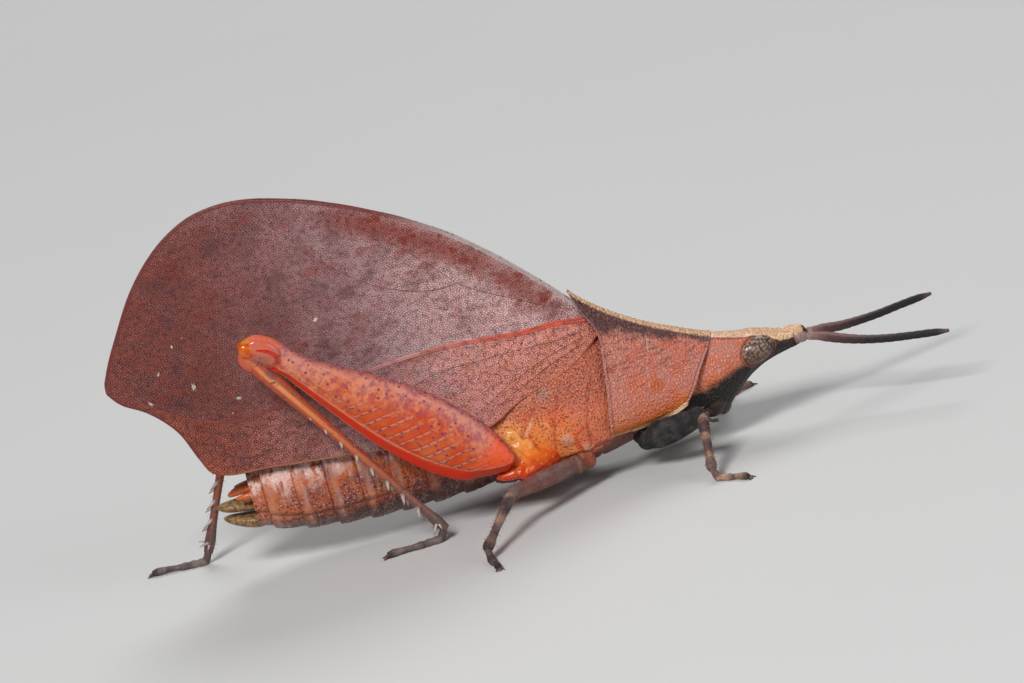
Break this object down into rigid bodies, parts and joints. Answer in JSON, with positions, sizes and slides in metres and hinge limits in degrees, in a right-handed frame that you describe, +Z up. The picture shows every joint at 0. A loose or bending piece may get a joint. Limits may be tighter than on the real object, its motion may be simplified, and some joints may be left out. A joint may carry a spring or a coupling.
{
  "type": "trigonopterygid leaf grasshopper",
  "caption": "Life-size still model of a leaf-mimicking grasshopper, standing, with leaf-shaped wings held roof-like over the body.",
  "frame": {"origin": "on the floor, below the middle of the box around the whole insect", "axes": "+X towards the head, +Y to the insect's left, +Z up"},
  "size_m": [0.0576, 0.0329, 0.0255],
  "materials": {
    "head": "pitted reddish brown cuticle with a tan band on top and a charcoal face",
    "eye": "glossy mottled brown compound eye",
    "antenna": "matt grey-black, pinkish at base and tip",
    "pronotum": "pitted pinkish red cuticle with a tan crest and pale rims",
    "thorax": "pitted orange cuticle, waxy",
    "abdomen": "orange-brown rings with purple and pink speckles, slightly glossy",
    "valves": "orange plate and greenish tan speckled valves",
    "tegmen": "leaf-like membrane, mauve brown above the midrib and orange-brown below, with a fine dark net",
    "fore_leg": "rough charcoal thigh, banded pinkish brown shin",
    "mid_leg": "greyish pink-brown, banded shin and dark foot tip",
    "hind_leg": "waxy translucent orange-red thigh, shin orange to grey with white spines"
  },
  "bodies": {
    "root": {"head": "head", "eye_right": "eye", "eye_left": "eye", "antenna_right": "antenna", "antenna_left": "antenna", "pronotum": "pronotum", "thorax": "thorax", "abdomen": "abdomen", "epiproct": "valves", "cercus_right": "valves", "cercus_left": "valves", "ovipositor_upper": "valves", "ovipositor_lower": "valves", "tegmen_right": "tegmen", "tegmen_left": "tegmen", "coxa_fore_right": "fore_leg", "femur_fore_right": "fore_leg", "tibia_fore_right": "fore_leg", "tarsus_fore_right": "fore_leg", "coxa_fore_left": "fore_leg", "femur_fore_left": "fore_leg", "tibia_fore_left": "fore_leg", "tarsus_fore_left": "fore_leg", "coxa_mid_right": "mid_leg", "femur_mid_right": "mid_leg", "tibia_mid_right": "mid_leg", "tarsus_mid_right": "mid_leg", "coxa_mid_left": "mid_leg", "femur_mid_left": "mid_leg", "tibia_mid_left": "mid_leg", "tarsus_mid_left": "mid_leg", "coxa_hind_right": "hind_leg", "femur_hind_right": "hind_leg", "tibia_hind_right": "hind_leg", "tarsus_hind_right": "hind_leg", "coxa_hind_left": "hind_leg", "femur_hind_left": "hind_leg", "tibia_hind_left": "hind_leg", "tarsus_hind_left": "hind_leg"}
  },
  "joints": []
}
